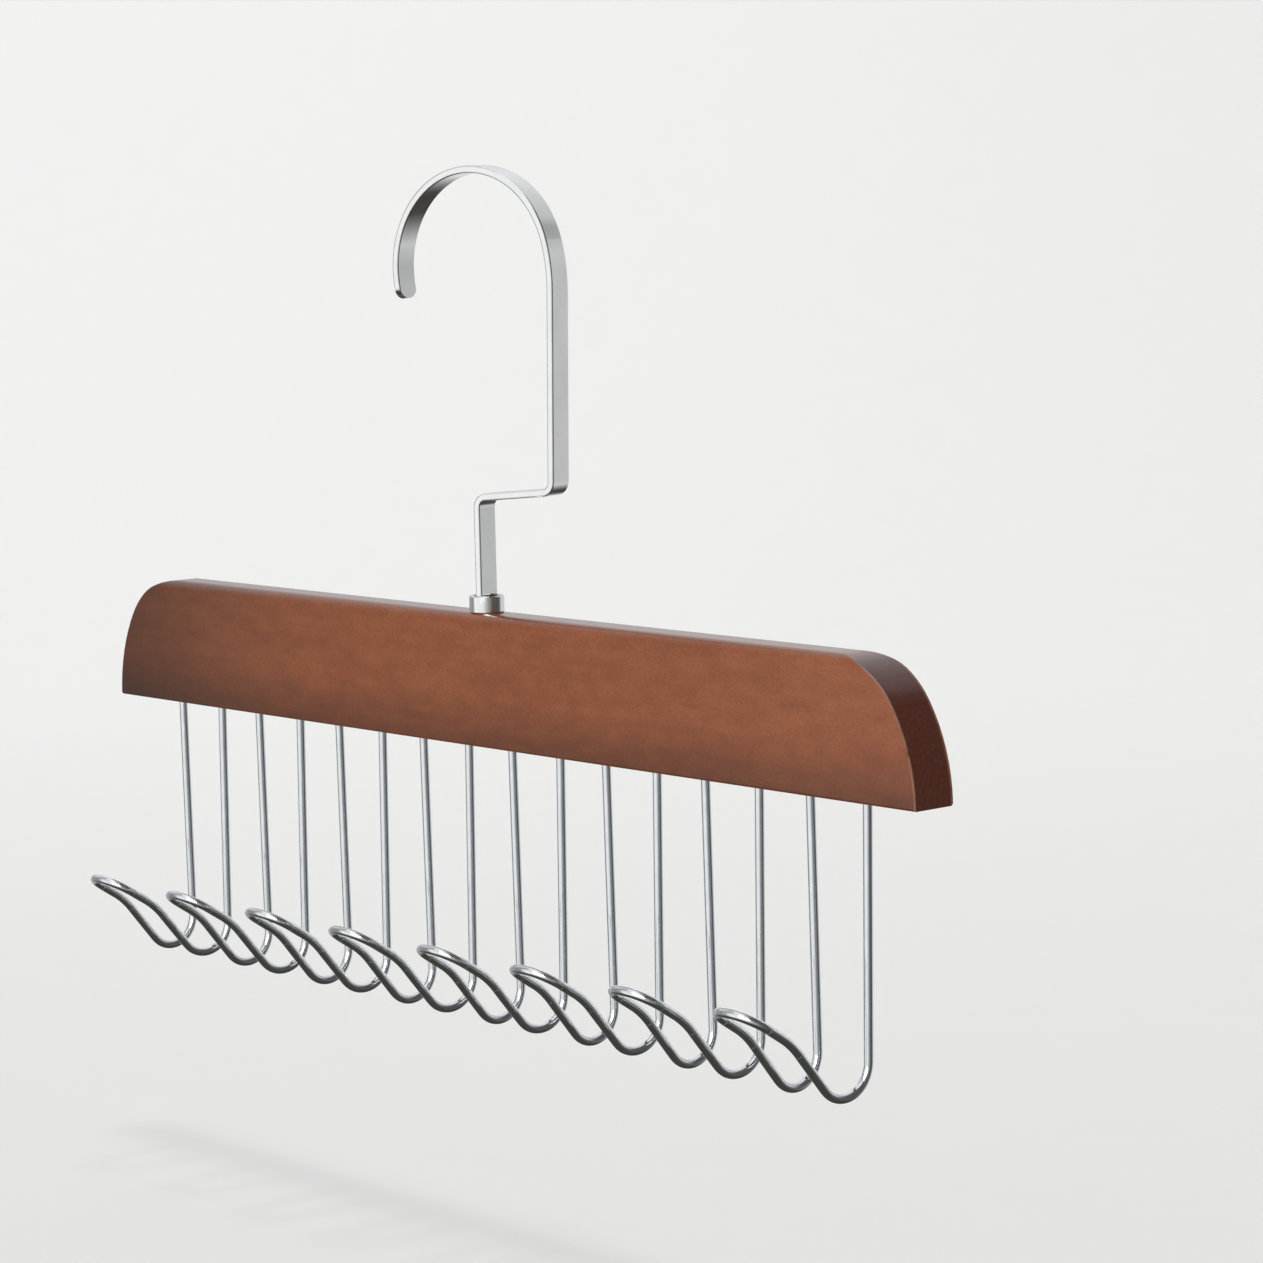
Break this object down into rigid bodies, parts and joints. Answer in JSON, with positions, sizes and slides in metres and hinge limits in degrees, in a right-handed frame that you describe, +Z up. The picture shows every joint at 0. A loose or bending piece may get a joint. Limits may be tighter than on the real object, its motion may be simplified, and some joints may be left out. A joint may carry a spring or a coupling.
{
  "type": "tie hanger",
  "caption": "Wooden hanger bar with a swivelling flat steel hook above and a row of bent wire loops below, for ties, belts and straps.",
  "frame": {"origin": "centre of the hook's arch, on the axis the bar swivels about", "axes": "+X along the bar, towards the side the hook's jog points to; +Z up; the loops reach out towards -Y"},
  "size_m": [0.33, 0.0477, 0.2277],
  "materials": {
    "varnished_wood": "satin red-brown varnish",
    "chrome_steel": "polished chrome plate",
    "plated_wire": "bright plated wire",
    "bare_steel": "bare turned steel"
  },
  "bodies": {
    "hook": {"flat_hook": "chrome_steel"},
    "bar": {"wooden_bar": "varnished_wood", "hook_collar": "chrome_steel", "swivel_sleeve": "bare_steel", "rivet_washer": "bare_steel", "wire_loop_1": "plated_wire", "wire_loop_2": "plated_wire", "wire_loop_3": "plated_wire", "wire_loop_4": "plated_wire", "wire_loop_5": "plated_wire", "wire_loop_6": "plated_wire", "wire_loop_7": "plated_wire", "wire_loop_8": "plated_wire"}
  },
  "joints": [
    {"name": "hook_swivel", "type": "hinge", "parent": "hook", "child": "bar", "pos_m": [0, 0, -0.0915], "axis": [0, 0, 1], "continuous": true}
  ]
}
